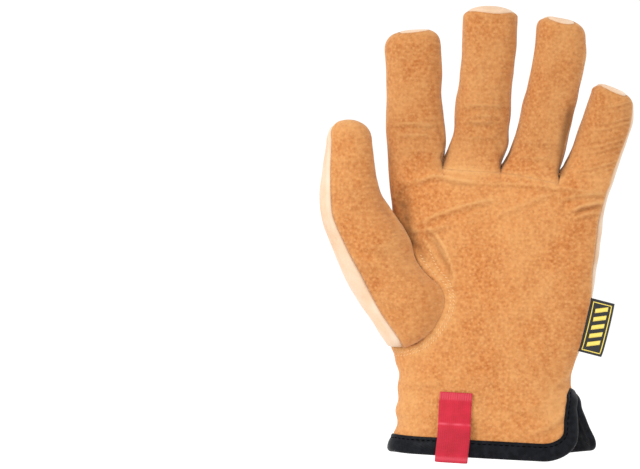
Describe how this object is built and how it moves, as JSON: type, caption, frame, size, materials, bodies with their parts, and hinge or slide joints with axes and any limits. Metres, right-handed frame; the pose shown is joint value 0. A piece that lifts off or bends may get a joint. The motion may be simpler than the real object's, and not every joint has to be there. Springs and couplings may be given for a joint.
{
  "type": "leather driver glove",
  "caption": "Left-hand slip-on leather work glove with a suede palm, a pale grain back, an elastic wrist, a taped hem and a webbing pull loop.",
  "frame": {"origin": "centre of the wrist opening at the level of the hem", "axes": "+Z from the wrist to the fingertips, -Y out of the palm, +X from the thumb to the little finger"},
  "size_m": [0.1748, 0.0565, 0.2532],
  "materials": {
    "suede": "orange-tan split cowhide with a short nap, rubbed paler on the high places",
    "grain_leather": "pale beige smooth grain cowhide, semi-matt",
    "hem_tape": "near-black folded tape with stitching",
    "badge_rubber": "dark navy moulded badge, satin",
    "webbing": "red woven webbing with a slight sheen",
    "label_cloth": "black woven label with a thin yellow border"
  },
  "bodies": {
    "root": {"palm_panel": "suede", "middle_front": "suede", "ring_front": "suede", "back_panel": "grain_leather", "fourchette_index_middle": "suede", "fourchette_middle_ring": "suede", "fourchette_ring_little": "suede", "thumb_front": "suede", "thumb_back": "grain_leather", "hem_binding": "hem_tape", "cuff_badge": "badge_rubber", "badge_rim": "badge_rubber", "pull_loop": "webbing", "side_label": "label_cloth"}
  },
  "joints": []
}
